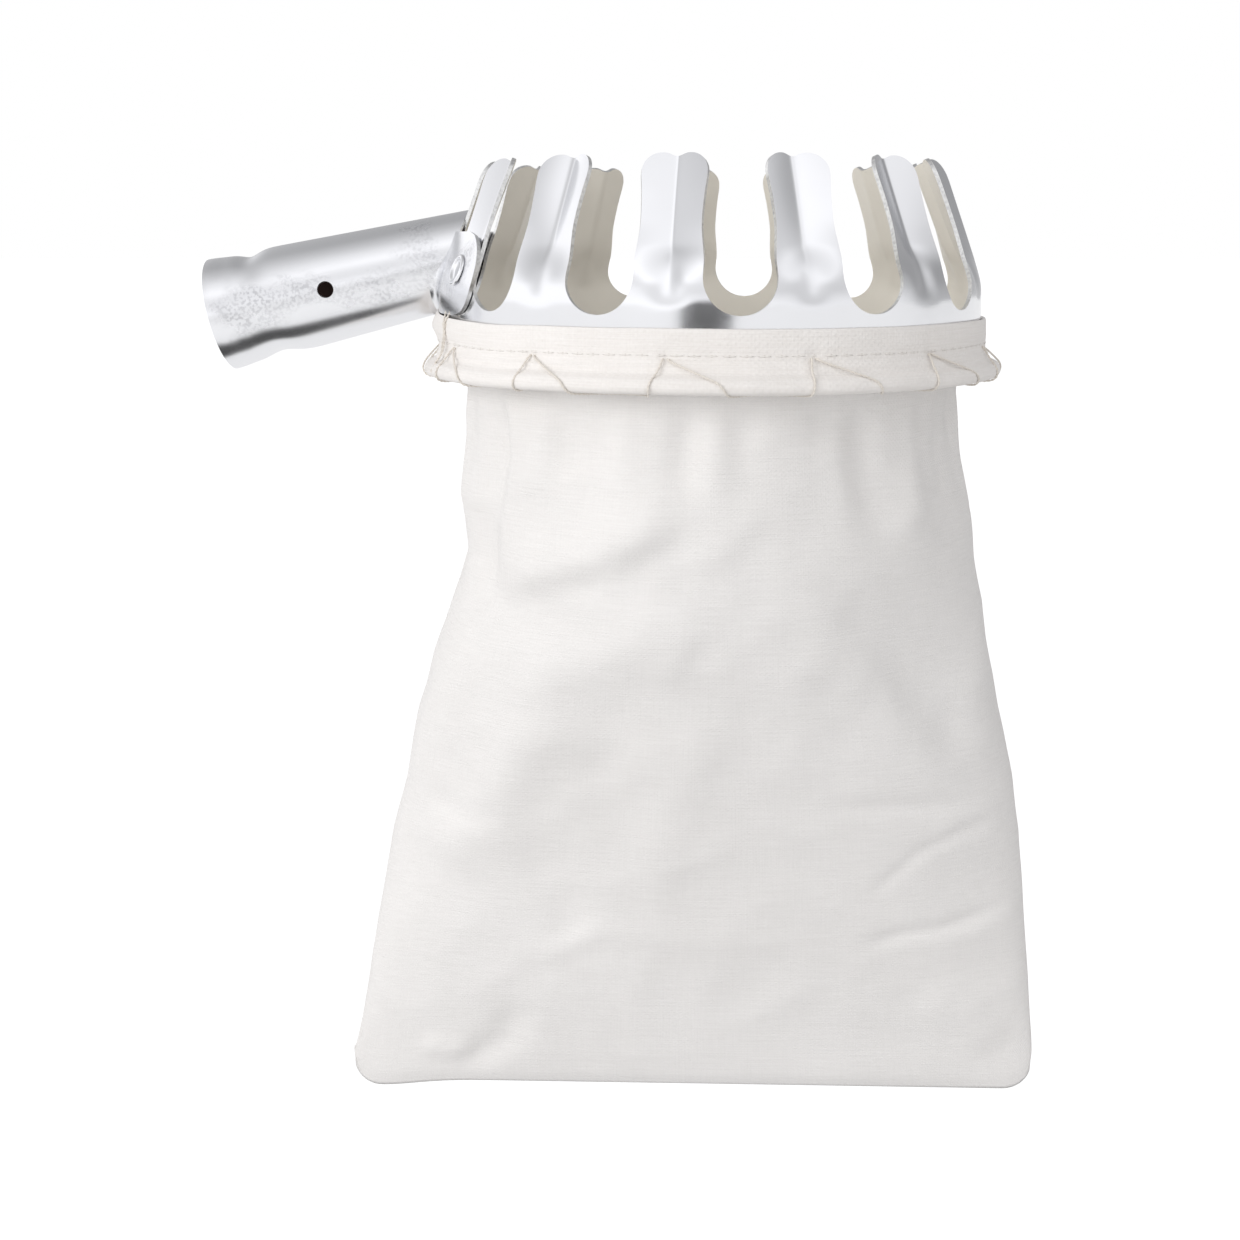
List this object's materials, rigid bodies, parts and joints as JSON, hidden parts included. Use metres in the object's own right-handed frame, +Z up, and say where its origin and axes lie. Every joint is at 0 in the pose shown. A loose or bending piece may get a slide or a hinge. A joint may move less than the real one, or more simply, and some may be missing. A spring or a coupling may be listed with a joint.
{
  "type": "fruit picker basket",
  "caption": "Ring of inward-leaning steel fingers on a slanted pole socket, with a cotton bag laced below to catch picked fruit.",
  "frame": {"origin": "centre of the pole socket's mouth", "axes": "+Z up along the axis of the round crown, +X from the socket's mouth towards the crown, +Y across; the socket drops 12.7 degrees towards -X"},
  "size_m": [0.2374, 0.1561, 0.2698],
  "materials": {
    "galvanised_sheet": "bright galvanised, with soft spangle and wiped streaks",
    "rivet_steel": "bright galvanised",
    "hem_cotton": "plain-weave unbleached cotton, folded double",
    "bag_cotton": "plain-weave off-white cotton",
    "lacing_cotton": "twisted natural cotton twine"
  },
  "bodies": {
    "head": {"crown": "galvanised_sheet", "socket": "galvanised_sheet", "rivet_front": "rivet_steel", "rivet_back": "rivet_steel", "hem": "hem_cotton", "bag_neck": "bag_cotton", "lacing_thread": "lacing_cotton", "tie_knot": "lacing_cotton"},
    "bag": {"front_panel": "bag_cotton", "back_panel": "bag_cotton", "side_seam_left": "bag_cotton", "side_seam_right": "bag_cotton", "bottom_seam": "bag_cotton"}
  },
  "joints": [
    {"name": "bag_swing", "type": "hinge", "parent": "head", "child": "bag", "pos_m": [0.1347, 0, -0.01476], "axis": [0, 1, 0], "range_deg": [-20, 30]}
  ]
}
